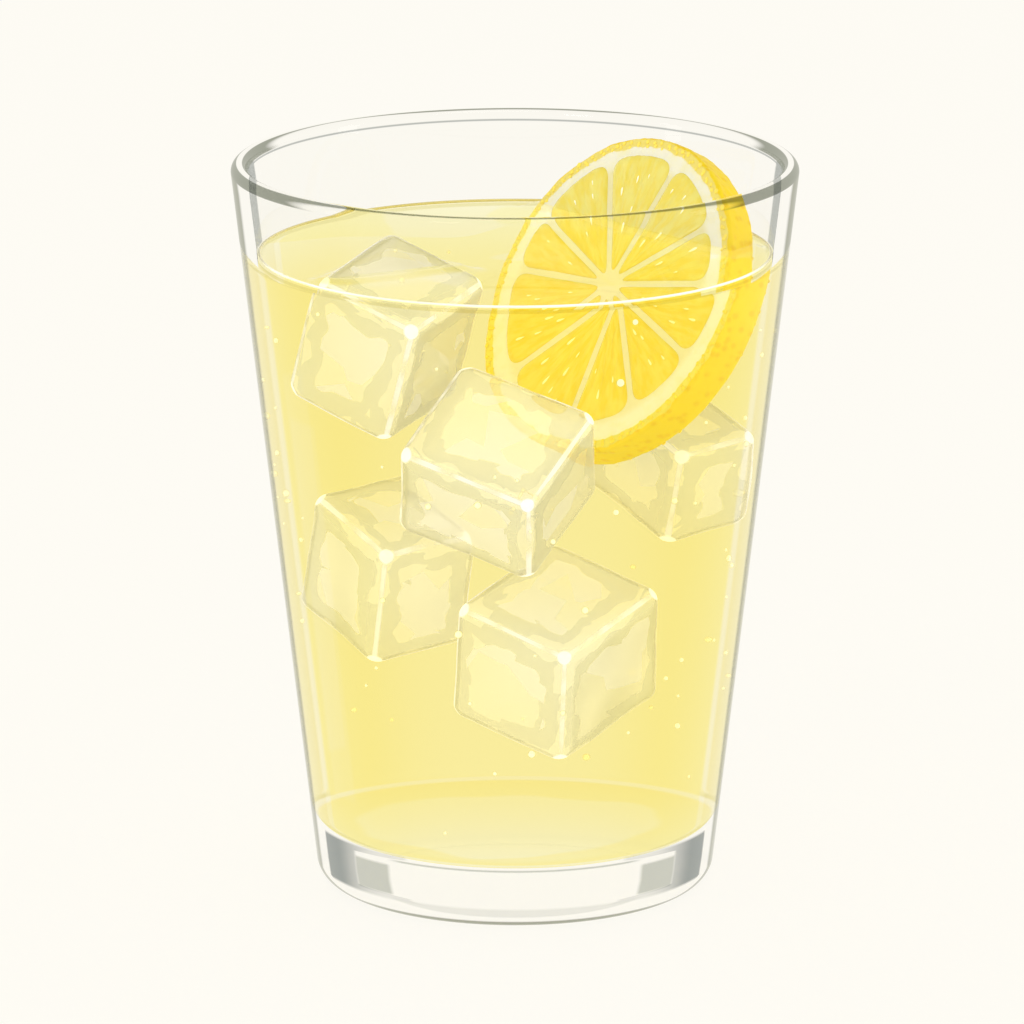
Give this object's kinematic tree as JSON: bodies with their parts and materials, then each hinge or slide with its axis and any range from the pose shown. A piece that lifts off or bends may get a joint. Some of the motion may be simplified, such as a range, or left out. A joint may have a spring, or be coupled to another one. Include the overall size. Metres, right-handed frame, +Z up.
{
  "type": "glass of lemonade",
  "caption": "Tapered glass tumbler filled with pale yellow lemonade, with ice and a wheel of lemon leaning on its wall.",
  "frame": {"origin": "middle of the foot's underside, on the surface that the glass stands on", "axes": "+Z up along the glass's axis; -Y towards the side the picture shows; +X to the right, where the lemon leans"},
  "size_m": [0.0896, 0.0896, 0.1172],
  "materials": {
    "glass": "clear polished drinking glass",
    "lemonade": "clear pale yellow drink, still surface",
    "lemon": "wet lemon flesh, white pith and waxy yellow peel",
    "ice": "clear wet ice with melted edges"
  },
  "bodies": {
    "root": {"glass": "glass", "lemonade": "lemonade", "lemon_slice": "lemon", "ice_cube_1": "ice"}
  },
  "joints": []
}
